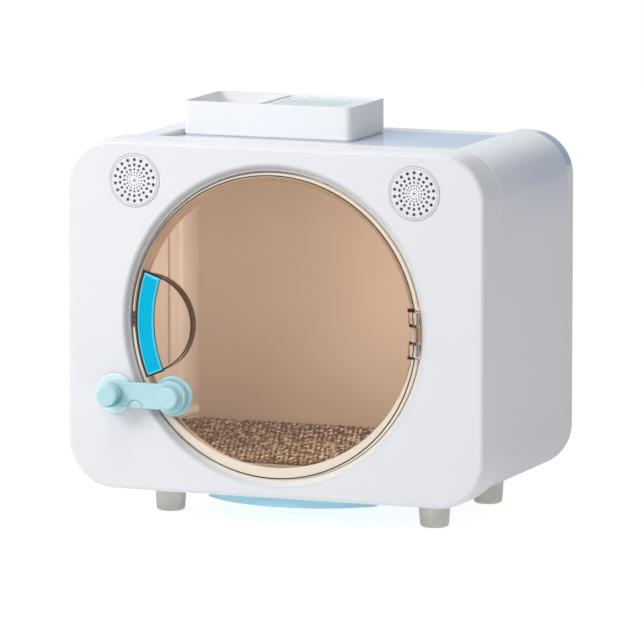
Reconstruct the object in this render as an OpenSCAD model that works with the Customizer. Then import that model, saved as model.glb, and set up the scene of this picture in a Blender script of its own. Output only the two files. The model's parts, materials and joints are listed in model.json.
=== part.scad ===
// Brooder box for hand-rearing young birds: a moulded cabin with a round see-through door,
// perforated vents, a mesh floor over a droppings tray, stub feet and a caddy on the roof deck.
// Front faces -Y, +Z is up, and the feet stand on Z = 0.

/* [Cabin] */
// Width of the front panel
body_w = 360; // [346:2:400]
// Height of the front panel
body_h = 285; // [275:1:320]
// Depth from the front face to the back face
body_d = 228; // [210:2:270]
// Corner radius seen from the front
corner_r = 40; // [34:1:46]
// Radius round the edge of the front face
edge_r = 4; // [3.5:0.5:6]
// Wall thickness of the white mouldings
wall = 3; // [2.4:0.2:3.6]
// Depth of the front panel's skirt
skirt_d = 40; // [32:1:44]
// Depth of the rear cover
cover_d = 22; // [21:1:26]
// Radius round the edge of the back face
cover_edge_r = 10; // [6:1:14]
// Radius of the cabin's rear inside corners
cover_inner_r = 17; // [12:1:17.4]

/* [Roof deck] */
// Half the width of the sunken deck
deck_half = 128; // [112:1:132]
// How far the deck lies below the shoulders
deck_drop = 5; // [4.5:0.5:8]
// Radius along the top edges of the deck
deck_lip_r = 4; // [2:0.5:4.4]

/* [Doorway] */
// Radius of the door pane
door_r = 124.2; // [116:0.2:126]
// Door centre below the middle of the front panel
door_drop = 2.8; // [0:0.2:4]
// Thickness of the pane
door_t = 3; // [2.4:0.2:3.4]
// Pane's face behind the front face
door_inset = 2; // [1.4:0.2:2.4]
// Radial gap round the pane
door_gap = 0.6; // [0.4:0.1:1]
// Radius of the rolled-in edge of the doorway
flare_r = 7; // [6:0.2:8]
// Width of the seat behind the pane
seat_w = 8.3; // [7:0.1:9]
// Thickness of the seat
seat_t = 2.5; // [2:0.1:3]
// Thickness of the soft seal on the seat
seal_t = 1.2; // [0.8:0.1:1.6]

/* [Hinge] */
// Hinge axis in from the pane's edge
hinge_in = 3.2; // [3:0.1:4]
// Radius of the knuckles
knuckle_r = 3.4; // [3:0.1:3.6]
// Radius of the hinge pin
pin_r = 1.5; // [1.2:0.1:1.8]
// Length of the hinge over its three knuckles
hinge_l = 35.2; // [32:0.2:40]
// Length of the middle knuckle
middle_l = 11.2; // [10:0.2:13]
// Gap beside each knuckle
ear_gap = 2.8; // [1.6:0.1:3]

/* [Handle] */
// Outer arc of the handle bar in from the pane's edge
handle_in = 6.5; // [6.2:0.1:8]
// Width of the handle bar
handle_w = 13.6; // [11:0.1:16]
// Thickness of the handle bar
handle_t = 3.5; // [2.5:0.1:5]
// Angle that the handle bar spans, in degrees
handle_span = 41.6; // [38:0.2:44]
// Angle of the handle's middle below the level, in degrees
handle_tilt = 1.6; // [0:0.2:2]
// Radius of the finger cup's round side
cup_r = 39; // [38.4:0.1:40]
// Centre of that round side in from the pane's edge
cup_in = 11.7; // [11:0.1:14]
// Depth of the finger cup
cup_d = 8; // [6:0.5:12]
// Wall of the finger cup
cup_wall = 1.6; // [1.2:0.1:1.6]
// Outer edge of the shallow recess round the cup in from the pane's edge
recess_in = 6; // [5.6:0.1:6]
// Depth of that recess
recess_d = 1.6; // [1:0.1:1.8]

/* [Strap lock] */
// Angle of the door base below the level, in degrees
lock_angle = 35; // [33:1:38]
// Door base in from the pane's edge
lock_in = 1.5; // [1:0.1:2]
// Distance between the two bases
lock_span = 50; // [49:0.5:54]
// Radius of the bases
base_r = 16.5; // [15.5:0.1:16.8]
// Thickness of the base plates
base_t = 2.6; // [2:0.1:3]
// Thickness of the adhesive pads
pad_t = 1; // [0.8:0.1:1.4]
// Width of the strap
strap_w = 21; // [19:0.5:23]
// Thickness of the strap
strap_t = 4; // [3.4:0.1:4.6]
// Radius of the strap's end on the door base
strap_ring_r = 13.4; // [12.6:0.1:14]
// Radius of the button at the free end
knob_r = 9.4; // [8:0.1:9.4]
// Height of the button at the free end
knob_t = 11; // [7:0.5:13]
// Radius of the button on the door base
dome_r = 9.2; // [8:0.1:10.5]
// Travel of the buttons
press = 2; // [1.4:0.1:2.4]

/* [Vents] */
// Radius of the vent caps
vent_r = 21.6; // [18:0.2:23]
// Vent centre in from the panel's side
vent_side = 59.7; // [56:0.1:64]
// Vent centre below the panel's top
vent_top = 32.1; // [30:0.1:35]
// Thickness of a vent cap's face
vent_t = 2.2; // [1.8:0.1:2.4]

/* [Floor] */
// Height of the floor ledges above the bottom of the panel
floor_z = 22; // [21:0.5:26]
// Thickness of the floor lattice
lattice_t = 3; // [2:0.2:4]
// Thickness of the mesh mat
mat_t = 2.4; // [1.6:0.2:3]
// Strand width of the mesh mat
strand_w = 5; // [4:0.2:7]

/* [Droppings tray] */
// Width of the tray
tray_w = 144; // [132:1:148]
// Radius of the tray's round front
tray_front_r = 100; // [90:1:110]
// Front of the tray behind the front face
tray_front = 8.4; // [6:0.2:12]
// Back of the tray in from the back face
tray_back_in = 60; // [54:1:66]
// Height of the tray
tray_h = 7; // [6.6:0.2:10]
// Wall of the tray
tray_wall = 1.6; // [1.4:0.1:2]

/* [Feet] */
// Height of the feet below the panel
foot_h = 25; // [20:0.5:30]
// Radius of a foot at its top
foot_r = 13.6; // [12:0.2:15]
// Radius of a foot at its bottom edge
foot_low_r = 11.8; // [10:0.2:12]
// Feet from the middle of the box
foot_x = 115; // [112:1:125]
// Front feet behind the front face
foot_front_y = 62; // [58:1:70]
// Rear feet in from the back face
foot_back_in = 40; // [38:1:50]

/* [Roof tray] */
// Width of the roof tray
caddy_w = 148; // [130:1:160]
// Depth of the roof tray
caddy_d = 79; // [66:1:84]
// Height of the roof tray
caddy_h = 28; // [22:1:36]
// Wall of the roof tray
caddy_wall = 2.2; // [1.8:0.1:2.6]
// Corner radius of the roof tray
caddy_r = 6; // [4:0.5:8]
// Gap between the roof tray and the left side of the deck
caddy_gap = 1; // [0.5:0.5:6]
// Middle of the roof tray in from the back face
caddy_back_in = 70; // [60:1:84]
// Width of the open pocket at the left
pocket_w = 60; // [50:1:70]
// Thickness of the perforated plate
plate_t = 2; // [1.6:0.1:3]
// Rim of the tray above the perforated plate
plate_down = 2; // [1:0.5:6]

/* [Heating] */
// Width of the heating plate
heater_w = 180; // [140:5:200]
// Depth of the heating plate
heater_d = 110; // [90:5:120]
// Thickness of the heating plate
heater_t = 5; // [4:0.5:7]
// Gap between the plate and the ceiling
heater_down = 8; // [6:0.5:12]

/* [Hidden] */
$fn = 96;

// Overrun of every cut, and the gaps between pieces
over = 1;
fit = 0.2;
slide_gap = 0.3;
run_gap = 0.05;

// Shell, which telescopes into the front panel's skirt
shell_in = wall + fit;
shell_w = body_w - 2 * shell_in;
shell_h = body_h - 2 * shell_in;
shell_r = corner_r - shell_in;
deck_z = shell_in + shell_h - deck_drop;
ceiling_z = deck_z - wall;
inner_edge_r = edge_r - wall + fit;

// Doorway, from the pane outwards and inwards
door_z = body_h / 2 - door_drop;
opening_r = door_r + door_gap;
seat_in_r = opening_r - seat_w;
pane_back = door_inset + door_t;
seat_y = pane_back + slide_gap + seal_t;
neck_d = seat_y + seat_t + wall;
roll_wall = wall + 2 * fit;
shell_y = neck_d;
shell_d = body_d - cover_d - shell_y;
seal_in = 0.6;
seal_w = 6.4;

// Screws
screw_r = 1.4;
screw_head_r = 3;
screw_head_h = 1.8;
cross_l = 3.4;
cross_w = 0.9;
cross_d = 0.9;
screw_fit = 0.15;
boss_r = 4.5;
boss_l = 22;
panel_screw_off = 30;
cover_screw_off = 22;
panel_screw_angles = [-70, 45];
cover_screw_angles = [-20, 45];
screw_web = 0.5;
foot_boss_h = 8;

// Hinge, level with the front face so that the door swings clear of the rolled edge
pin_x = door_r - hinge_in;
notch_in = 4.5;
ear_web_l = 5.2;
ear_web_up = 1.2;
leg_w = 4;
leg_in = 0.2;
flange_t = 2.2;
flange_w = 5.2;
flange_h = 36;
flange_off = 4.2;
bracket_screw_off = 1.6;
bracket_screw_z = 13;
seal_more = 3.6;
seat_gap_w = notch_in + over + hinge_in - door_gap;
seal_relief = hinge_l / 2 + ear_gap + seal_more;

// Catch at the free side of the door
catch_h = 12;
catch_w = 5.6;
catch_t = 1;
catch_in = 1;
magnet_t = 1.6;

// Handle and finger cup
handle_r = door_r - handle_in;
handle_edge_r = 1;
cup_x = door_r - cup_in;
cup_drop = 3.2;
cup_gap = 0.6;
cup_edge_r = seat_in_r - cup_gap - cup_wall;
recess_more = 0.6;
grip_gap = 0.5;
grip_in = 0.5;
grip_end = 4;

// Strap lock, measured outwards from the front face
lock_r = door_r - base_r - lock_in;
lock_x = lock_r * cos(lock_angle) + lock_span;
lock_z = door_z - lock_r * sin(lock_angle);
base_edge = 1.2;
rest_r = 6;
strap_lift = 0.8;
strap_edge = 1;
strap_low = pad_t + base_t + strap_lift;
strap_top = strap_low + strap_t;
stem_r = 4.4;
stem_in = 0.6;
knob_edge = 3.2;
dome_t = 3.2;
dome_edge = 2;
button_gap = press + fit;
lock_reach = strap_top + button_gap + knob_t;
hub_r = 7;
hub_top = strap_top + slide_gap;
retainer_r = 10.8;
retainer_t = 0.8;
thumb_r = 6;
thumb_w = 1.2;
thumb_d = 0.8;
thumb_x = 20;

// Vents: rings of holes from the outside in
vent_x = body_w / 2 - vent_side;
vent_z = body_h - vent_top;
vent_gap = 0.3;
vent_proud = 0.6;
vent_edge = 0.8;
vent_spigot_in = 2.4;
vent_spigot_l = 4;
vent_spigot_wall = 1.6;
vent_bead = 0.5;
vent_bead_h = 1;
vent_groove_in = 1.9;
vent_groove_w = 0.5;
vent_groove_d = 0.4;
vent_ring_counts = [18, 18, 16, 16, 12];
vent_ring_shares = [0.775, 0.58, 0.417, 0.3, 0.2];
vent_hole_shares = [0.0625, 0.055, 0.042, 0.026, 0.02];
vent_centre_share = 0.04;

// Floor
floor_side_gap = 7.8;
floor_back_gap = 5.6;
lattice_side = shell_w / 2 - wall - floor_side_gap;
lattice_front = shell_y + wall + 2 * fit;
lattice_back = body_d - wall - floor_back_gap;
lattice_r = 28;
lattice_rows = 2;
lattice_cols = 23;
lattice_bar = 6;
ledge_lap = 10;
ledge_x = lattice_side - ledge_lap;
ledge_t = 3;
mat_in = 3;
mat_cols = 20;
mat_rows = 12;

// Tray, rails and the window above them
tray_back = body_d - tray_back_in;
tray_arc_y = tray_front + tray_front_r;
tray_top = -1;
tray_flange_w = 4.2;
tray_flange_t = 2;
tray_flange_down = 0.9;
window_in = 12;
window_gap = 5;
window_half = tray_w / 2 - window_in;
window_front = skirt_d + window_gap;
window_back = tray_back - tray_wall;
window_r = 12;
rail_web = 3.5;
rail_foot_w = 12;
rail_foot_t = 2.5;
rail_lip_t = 2;
rail_more = 10;
rail_front = window_front;
rail_back = tray_back + rail_more;
rail_screw_in = 15;
rail_x = tray_w / 2 + tray_flange_w + slide_gap;
rail_low = tray_top - tray_flange_down - tray_flange_t - slide_gap - rail_lip_t;
tray_flange_y = rail_front + rail_screw_in;

// Feet
foot_edge_r = 3;
foot_pocket_h = 6;
foot_back_y = body_d - foot_back_in;

// Roof tray
caddy_y = body_d - caddy_back_in;
caddy_x = deck_half - caddy_gap - caddy_w / 2;
plinth_h = 1;
plinth_in = 1;
caddy_floor = 2.4;
plate_gap = 0.3;
post_w = 5;
plate_cols = 8;
plate_rows = 5;
plate_hole_r = 2;
plate_pitch = 7.4;
plate_left_share = 0.46;

// Heating and power
heater_y = (skirt_d + body_d - cover_d) / 2;
heater_screw_in = 10;
heater_boss_r = 4;
heater_z = ceiling_z - heater_down - heater_t;
inlet_x = 60;
inlet_r = 5.5;
inlet_flange_r = 7.5;
inlet_flange_t = 2;
inlet_l = 14;
inlet_socket_r = 3.2;
inlet_socket_d = 9;
inlet_core_r = 1;
nut_r = 8.5;
nut_t = 3;
lead_r = 2;

// Outermost reach in front of the panel, so that the whole is centred on the origin
front_y = (lock_reach - body_d - inlet_flange_t) / 2;

function side_x(side, x) = side * x;

module in_body() { translate([0, front_y, foot_h]) children(); }

module at_door() { translate([0, 0, door_z]) children(); }

module at_lock() { translate([-lock_x, 0, lock_z]) children(); }

// Extrudes an outline in X and Z from y = 0 to y = d
module along_y(d) { translate([0, d, 0]) rotate([90, 0, 0]) linear_extrude(d) children(); }

// Revolves an outline in radius and y about the Y axis
module about_y(turn = 360, start = 0) {
  rotate([-90, 0, 0]) rotate([0, 0, start]) rotate_extrude(angle = turn) children();
}

module rounded_rect(w, h, r) {
  translate([r - w / 2, 0]) square([w - 2 * r, h]);
  translate([-w / 2, r]) square([w, h - 2 * r]);
  for (x = [r - w / 2, w / 2 - r], z = [r, h - r]) translate([x, z]) circle(r);
}

// Half of a slab's section, with its front edge rounded
module edge_profile(r, d, e) {
  difference() {
    square([r, d]);
    difference() {
      translate([r - e, -over]) square([e + over, e + over]);
      translate([r - e, e]) circle(e);
    }
  }
}

module slab_profile(w, d, e) {
  for (s = [0, 1]) mirror([s, 0]) edge_profile(w / 2, d, e);
}

// Box with corners rounded by r seen from the front, and its front edge rounded by e
module soft_box(w, h, d, r, e) {
  x = w / 2 - r;
  for (i = [0, 1], k = [0, 1]) translate([0, 0, k * h]) mirror([i, 0, 0]) mirror([0, 0, k])
    translate([x, 0, r]) about_y(90) edge_profile(r, d, e);
  for (i = [0, 1]) mirror([i, 0, 0]) translate([x, 0, r]) linear_extrude(h - 2 * r) edge_profile(r, d, e);
  for (k = [0, 1]) translate([0, 0, k * h]) mirror([0, 0, k]) translate([0, 0, r])
    rotate([0, 90, 0]) linear_extrude(2 * x, center = true) edge_profile(r, d, e);
  translate([-x, 0, r]) cube([2 * x, d, h - 2 * r]);
}

// Round plate that lies on the face y = 0 and rounds off towards the front
module front_disc(r, t, e) { translate([0, -t, 0]) about_y() edge_profile(r, t, e); }

module rod_y(r, l) { rotate([-90, 0, 0]) cylinder(r = r, h = l); }

// Pan-head screw with a cross recess: the head lies below z = 0 and the shank goes up
module pan_screw(l) {
  cylinder(r = screw_r, h = l);
  translate([0, 0, -screw_head_h]) difference() {
    cylinder(r = screw_head_r, h = screw_head_h);
    for (a = [0, 90])
      rotate([0, 0, a]) translate([-cross_l / 2, -cross_w / 2, -over]) cube([cross_l, cross_w, cross_d + over]);
  }
}

// Places of the four corner screws, with local +X pointing out towards the corner
module corner_screw_places(off, angles) {
  for (s = [0, 1], top = [0, 1])
    mirror([s, 0, 0])
      translate([body_w / 2 - corner_r, 0, top == 1 ? body_h - corner_r : corner_r])
        rotate([0, -angles[top], 0]) translate([off, 0, 0]) children();
}

module foot_places() {
  for (s = [-1, 1], y = [foot_front_y, foot_back_y]) translate([side_x(s, foot_x), y, 0]) children();
}

module rail_screw_places() {
  for (s = [-1, 1], y = [rail_front + rail_screw_in, rail_back - rail_screw_in])
    translate([side_x(s, rail_x + rail_web + rail_foot_w / 2), y, 0]) children();
}

module heater_screw_places() {
  for (s = [-1, 1], t = [-1, 1])
    translate([side_x(s, heater_w / 2 - heater_screw_in), heater_y + t * (heater_d / 2 - heater_screw_in), 0])
      children();
}

// Section of the doorway's rolled edge, neck and seat
module doorway_wall() {
  difference() {
    union() {
      translate([opening_r, 0]) square([flare_r, flare_r]);
      translate([opening_r, 0]) square([wall, neck_d]);
      translate([seat_in_r, seat_y]) square([opening_r + wall - seat_in_r, seat_t]);
    }
    translate([opening_r + flare_r, flare_r]) circle(flare_r - roll_wall);
  }
}

module doorway_cut() {
  translate([0, -over]) square([seat_in_r, neck_d + 2 * over]);
  translate([0, -over]) square([opening_r, seat_y + over]);
  difference() {
    translate([opening_r - over, -over]) square([flare_r + over, flare_r + over]);
    translate([opening_r + flare_r, flare_r]) circle(flare_r);
  }
}

module vent_seat() {
  translate([0, -over, 0]) rod_y(vent_r + vent_gap, over + vent_t - vent_proud);
  translate([0, -over, 0]) rod_y(vent_r - vent_spigot_in + fit, wall + 2 * over);
}

// Places of the bracket's two screws on the seat
module bracket_screw_places() {
  for (k = [-1, 1]) translate([pin_x - bracket_screw_off, 0, k * bracket_screw_z]) children();
}

// Gaps in the seat behind the pane's hinge notches; the middle one also takes the bracket's leg
module seat_gaps() {
  middle_h = middle_l + 2 * ear_gap;
  translate([pin_x - notch_in - over, seat_y - over, 0]) {
    translate([0, 0, -middle_h / 2]) cube([seat_gap_w, seat_t + 2 * over, middle_h]);
    for (s = [0, 1])
      mirror([0, 0, s]) translate([0, 0, hinge_l / 2]) cube([seat_gap_w, seat_t + 2 * over, ear_gap]);
  }
}

// Deep white cap with the round rolled-in doorway
module front_panel() {
  color("white") in_body() difference() {
    union() {
      difference() {
        soft_box(body_w, body_h, skirt_d, corner_r, edge_r);
        translate([0, wall, wall])
          soft_box(body_w - 2 * wall, body_h - 2 * wall, skirt_d, corner_r - wall, inner_edge_r);
      }
      at_door() about_y() doorway_wall();
      corner_screw_places(panel_screw_off, panel_screw_angles) rod_y(boss_r, shell_y);
    }
    at_door() about_y() doorway_cut();
    for (s = [-1, 1]) translate([side_x(s, vent_x), 0, vent_z]) vent_seat();
    at_door() seat_gaps();
    corner_screw_places(panel_screw_off, panel_screw_angles) translate([0, wall, 0]) rod_y(screw_r + screw_fit, shell_y);
    at_door() bracket_screw_places() translate([0, seat_y + screw_web, 0])
      rod_y(screw_r + screw_fit, seat_t - screw_web + over);
    at_door() translate([0, seat_y + seat_t - magnet_t, 0]) magnet_block(magnet_t + over, fit);
  }
}

// Block on the free side of the doorway, grown all round by g
module magnet_block(t, g) {
  translate([-opening_r + catch_in - g, 0, -catch_h / 2 - g]) cube([catch_w + 2 * g, t, catch_h + 2 * g]);
}

// Outline of the shell with its sunken deck
module shell_outline() {
  difference() {
    rounded_rect(shell_w, shell_h, shell_r);
    deck_trough();
  }
}

module deck_trough() {
  translate([-deck_half, shell_h - deck_drop]) square([2 * deck_half, deck_drop + over]);
  for (s = [0, 1]) mirror([s, 0]) difference() {
    translate([deck_half - over, shell_h - deck_lip_r]) square([deck_lip_r + over, deck_lip_r + over]);
    translate([deck_half + deck_lip_r, shell_h - deck_lip_r]) circle(deck_lip_r);
  }
}

// Block under the deck that the cavity leaves out, so that the deck has a wall
module deck_block(d) {
  translate([-deck_half - wall, 0, shell_h - deck_drop - wall])
    cube([2 * (deck_half + wall), d, deck_drop + wall]);
}

module cavity_outline() {
  difference() {
    translate([0, wall]) rounded_rect(shell_w - 2 * wall, shell_h - 2 * wall, shell_r - wall);
    translate([-deck_half - wall, shell_h - deck_drop - wall]) square([2 * (deck_half + wall), deck_drop]);
    for (s = [0, 1]) mirror([s, 0])
      translate([ledge_x, floor_z - shell_in - ledge_t]) square([shell_w, ledge_t]);
  }
}

// Walls, front frame, floor ledges, droppings window and roof deck
module main_shell() {
  color("white") in_body() difference() {
    union() {
      translate([0, shell_y, shell_in]) along_y(shell_d) difference() {
        shell_outline();
        cavity_outline();
      }
      translate([0, shell_y, shell_in]) along_y(wall) difference() {
        shell_outline();
        translate([0, door_z - shell_in]) circle(opening_r);
      }
      corner_screw_places(cover_screw_off, cover_screw_angles) translate([0, body_d - cover_d - boss_l, 0]) {
        rod_y(boss_r, boss_l);
        translate([0, 0, -wall / 2]) cube([shell_r - wall / 2 - cover_screw_off, boss_l, wall]);
      }
      foot_places() translate([0, 0, shell_in]) cylinder(r = boss_r, h = wall + foot_boss_h);
      rail_screw_places() translate([0, 0, shell_in]) cylinder(r = boss_r, h = wall + foot_boss_h);
      heater_screw_places() translate([0, 0, ceiling_z - heater_down])
        cylinder(r = heater_boss_r, h = heater_down + wall / 2);
    }
    droppings_window();
    corner_screw_places(panel_screw_off, panel_screw_angles) translate([0, shell_y - over, 0])
      rod_y(screw_r + screw_fit, wall + 2 * over);
    corner_screw_places(cover_screw_off, cover_screw_angles) translate([0, body_d - cover_d - boss_l + wall, 0])
      rod_y(screw_r + screw_fit, boss_l);
    foot_places() cylinder(r = screw_r + screw_fit, h = shell_in + wall + foot_boss_h - wall / 2);
    rail_screw_places() cylinder(r = screw_r + screw_fit, h = shell_in + wall + foot_boss_h - wall / 2);
    heater_screw_places() translate([0, 0, ceiling_z - heater_down - over])
      cylinder(r = screw_r + screw_fit, h = heater_down);
  }
}

module droppings_window() {
  translate([0, window_front, 0]) linear_extrude(shell_in + wall + over)
    rounded_rect(2 * window_half, window_back - window_front, window_r);
}

// Back of the cabin, with rounded inside corners and the power inlet's hole
module rear_cover() {
  tab_t = wall / 2;
  tab_l = 2 * wall;
  tab_h = shell_h / 2;
  color("white") in_body() translate([0, body_d, shell_in]) mirror([0, 1, 0]) difference() {
    union() {
      difference() {
        soft_box(shell_w, shell_h, cover_d, shell_r, cover_edge_r);
        difference() {
          translate([0, wall, wall])
            soft_box(shell_w - 2 * wall, shell_h - 2 * wall, cover_d, shell_r - wall, cover_inner_r);
          deck_block(cover_d + wall + over);
        }
        translate([0, -over, 0]) along_y(cover_d + 2 * over) deck_trough();
      }
      for (s = [0, 1]) mirror([s, 0, 0]) {
        translate([shell_w / 2 - wall - fit - tab_t, cover_d - tab_l, (shell_h - tab_h) / 2])
          cube([tab_t, 2 * tab_l, tab_h]);
        translate([shell_w / 2 - wall - fit - tab_t, cover_d - tab_l, (shell_h - tab_h) / 2])
          cube([tab_t + wall / 2, tab_l, tab_h]);
      }
      translate([0, 0, -shell_in]) corner_screw_places(cover_screw_off, cover_screw_angles) rod_y(boss_r, cover_d);
    }
    translate([0, 0, -shell_in]) corner_screw_places(cover_screw_off, cover_screw_angles) {
      translate([0, -over, 0]) rod_y(screw_r + screw_fit, cover_d + 2 * over);
      translate([0, -over, 0]) rod_y(screw_head_r + screw_fit, over + cover_d / 2);
    }
    translate([inlet_x, -over, heater_z + heater_t / 2 - shell_in]) rod_y(inlet_r + fit, wall + 2 * over);
    translate([inlet_x, wall, heater_z + heater_t / 2 - shell_in]) rod_y(nut_r + fit, cover_d);
  }
}

// Pressed-in round cap with rings of holes
module vent_cap(side) {
  color("white") in_body() translate([side_x(side, vent_x), -vent_proud, vent_z]) difference() {
    union() {
      about_y() edge_profile(vent_r, vent_t, vent_edge);
      rod_y(vent_r - vent_spigot_in, vent_t + vent_spigot_l);
      translate([0, vent_proud + wall + fit, 0]) rod_y(vent_r - vent_spigot_in + vent_bead, vent_bead_h);
    }
    translate([0, vent_t, 0]) rod_y(vent_r - vent_spigot_in - vent_spigot_wall, vent_spigot_l + over);
    about_y() translate([vent_r - vent_groove_in, -over]) square([vent_groove_w, over + vent_groove_d]);
    for (i = [0 : len(vent_ring_counts) - 1], k = [0 : vent_ring_counts[i] - 1])
      rotate([0, k * 360 / vent_ring_counts[i], 0])
        translate([0, -over, vent_ring_shares[i] * vent_r])
          rod_y(vent_hole_shares[i] * vent_r, vent_t + 2 * over);
    translate([0, -over, 0]) rod_y(vent_centre_share * vent_r, vent_t + 2 * over);
  }
}

module vent_cap_left() { vent_cap(-1); }

module vent_cap_right() { vent_cap(1); }

module panel_screws() {
  color("silver") in_body() corner_screw_places(panel_screw_off, panel_screw_angles)
    translate([0, shell_y + wall, 0]) rotate([90, 0, 0]) pan_screw(shell_y - wall / 2);
}

module cover_screws() {
  color("silver") in_body() corner_screw_places(cover_screw_off, cover_screw_angles)
    translate([0, body_d - cover_d / 2, 0]) rotate([90, 0, 0]) pan_screw(cover_d / 2 + boss_l / 2);
}

// Plan of the finger cup, grown all round by g
module cup_outline(g) {
  intersection() {
    translate([-cup_x, -cup_drop]) circle(cup_r + g);
    circle(cup_edge_r + g);
  }
}

module recess_outline() {
  intersection() {
    translate([-cup_x, -cup_drop]) circle(cup_r + recess_more);
    circle(door_r - recess_in);
  }
}

module hinge_ear() {
  l = (hinge_l - middle_l) / 2 - ear_gap;
  translate([pin_x, 0, middle_l / 2 + ear_gap]) {
    cylinder(r = knuckle_r, h = l);
    translate([-ear_web_l, -ear_web_up, 0]) cube([ear_web_l, ear_web_up + door_inset + door_t / 2, l]);
  }
}

// Notch through the pane's edge from height z, h tall
module hinge_notch(z, h) {
  translate([pin_x - notch_in, -door_r, z]) cube([door_r, 2 * door_r, h]);
}

// Round tinted pane with its moulded finger cup and hinge ears
module door_pane() {
  notch_h = middle_l + 2 * ear_gap;
  color([0.72, 0.55, 0.42, 0.6]) in_body() at_door() difference() {
    union() {
      translate([0, door_inset, 0]) along_y(door_t) difference() {
        circle(door_r);
        cup_outline(0);
      }
      translate([0, door_inset, 0]) along_y(cup_d) difference() {
        cup_outline(cup_wall);
        cup_outline(0);
      }
      translate([0, door_inset + cup_d, 0]) along_y(cup_wall) cup_outline(cup_wall);
      for (s = [0, 1]) mirror([0, 0, s]) hinge_ear();
    }
    translate([0, door_inset - over, 0]) along_y(over + recess_d) recess_outline();
    hinge_notch(-notch_h / 2, notch_h);
    for (s = [0, 1]) mirror([0, 0, s]) hinge_notch(hinge_l / 2, ear_gap);
    translate([pin_x, 0, -hinge_l]) cylinder(r = pin_r + run_gap, h = 2 * hinge_l);
    translate([0, pane_back - catch_t, 0]) magnet_block(catch_t + over, fit);
  }
}

// Curved bar over the finger cup, with a foot in the recess along its outer edge
module handle_bar() {
  foot_span = handle_span - 2 * grip_end;
  foot_r0 = cup_edge_r + grip_gap;
  color([0, 0.7, 0.88]) in_body() at_door() translate([0, door_inset - handle_t, 0]) {
    about_y(handle_span, 180 - handle_tilt - handle_span / 2)
      translate([handle_r - handle_w / 2, 0]) slab_profile(handle_w, handle_t, handle_edge_r);
    translate([0, handle_t / 2, 0]) about_y(foot_span, 180 - handle_tilt - foot_span / 2)
      translate([foot_r0, 0]) square([handle_r - grip_in - foot_r0, handle_t / 2 + recess_d]);
  }
}

module catch_plate() {
  color("dimgray") in_body() at_door() translate([0, pane_back - catch_t, 0]) magnet_block(catch_t, 0);
}

module catch_magnet() {
  color("dimgray") in_body() at_door()
    translate([0, seat_y + seat_t - magnet_t, 0]) magnet_block(magnet_t, 0);
}

// Soft ring on the seat, open beside the hinge
module door_seal() {
  color("linen") in_body() at_door() difference() {
    about_y() translate([seat_in_r + seal_in, seat_y - seal_t]) square([seal_w, seal_t]);
    translate([0, 0, -seal_relief]) cube([body_w, seat_y + over, 2 * seal_relief]);
  }
}

module hinge_pin() {
  color("silver") in_body() at_door() translate([pin_x, 0, -hinge_l / 2]) cylinder(r = pin_r, h = hinge_l);
}

// Middle knuckle on a leg that goes through the seat to a screwed flange
module hinge_bracket() {
  flange_y = seat_y + seat_t;
  leg_h = middle_l - 2 * leg_in;
  color([0.9, 0.86, 0.8]) in_body() at_door() difference() {
    union() {
      translate([pin_x, 0, -middle_l / 2]) cylinder(r = knuckle_r, h = middle_l);
      translate([pin_x - leg_w / 2, 0, -leg_h / 2]) cube([leg_w, flange_y + flange_t, leg_h]);
      translate([pin_x - flange_off, flange_y, -flange_h / 2]) cube([flange_w, flange_t, flange_h]);
    }
    translate([pin_x, 0, -hinge_l]) cylinder(r = pin_r + run_gap, h = 2 * hinge_l);
    bracket_screw_places() translate([0, flange_y - over, 0]) rod_y(screw_r + screw_fit, flange_t + 2 * over);
  }
}

module bracket_screws() {
  color("silver") in_body() at_door() bracket_screw_places()
    translate([0, seat_y + seat_t + flange_t, 0]) rotate([90, 0, 0])
      pan_screw(flange_t + seat_t - screw_web - fit);
}

module lock_panel_pad() { color("whitesmoke") in_body() at_lock() front_disc(base_r - base_edge, pad_t, fit); }

// Base on the panel with a low rest under the strap's free end
module lock_panel_base() {
  color("powderblue") in_body() at_lock() translate([0, -pad_t, 0]) {
    front_disc(base_r, base_t, base_edge);
    front_disc(rest_r, base_t + strap_lift - slide_gap, fit);
  }
}

module lock_door_pad() {
  color("whitesmoke") in_body() at_lock() translate([lock_span, door_inset, 0])
    front_disc(base_r - base_edge, pad_t, fit);
}

// Base on the pane with the hub that the strap turns on
module lock_door_base() {
  color("powderblue") in_body() at_lock() translate([lock_span, 0, 0]) difference() {
    union() {
      translate([0, door_inset - pad_t, 0]) front_disc(base_r, base_t, base_edge);
      front_disc(hub_r, hub_top, fit);
    }
    translate([0, -hub_top - over, 0]) rod_y(stem_r + screw_fit, over + press + stem_in + fit);
  }
}

// Strap between the two bases, which turns on the door base's hub
module lock_strap() {
  color("powderblue") in_body() at_lock() difference() {
    translate([0, -strap_top, 0]) {
      about_y(180, 90) edge_profile(strap_w / 2, strap_t, strap_edge);
      rotate([0, 90, 0]) linear_extrude(lock_span) slab_profile(strap_w, strap_t, strap_edge);
      translate([lock_span, 0, 0]) about_y() edge_profile(strap_ring_r, strap_t, strap_edge);
    }
    translate([lock_span, -strap_top - over, 0]) rod_y(hub_r + screw_fit, strap_t + 2 * over);
    translate([0, -strap_top - over, 0]) rod_y(stem_r + screw_fit, strap_t + 2 * over);
    translate([thumb_x, -strap_top, -strap_w / 2]) about_y()
      translate([thumb_r, -over]) square([thumb_w, over + thumb_d]);
  }
}

// Ring on the hub that keeps the strap on
module lock_retainer() {
  color("powderblue") in_body() at_lock() translate([lock_span, -hub_top, 0]) difference() {
    front_disc(retainer_r, retainer_t, retainer_t / 2);
    translate([0, -retainer_t - over, 0]) rod_y(stem_r + 2 * fit, retainer_t + 2 * over);
  }
}

// Push button over the face at height h, with a stem that slides in the bore below it
module lock_button(h, r, t, e) {
  translate([0, -h - button_gap, 0]) {
    front_disc(r, t, e);
    rod_y(stem_r, button_gap + stem_in);
  }
}

module lock_strap_button() {
  color("powderblue") in_body() at_lock() lock_button(strap_top, knob_r, knob_t, knob_edge);
}

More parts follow.
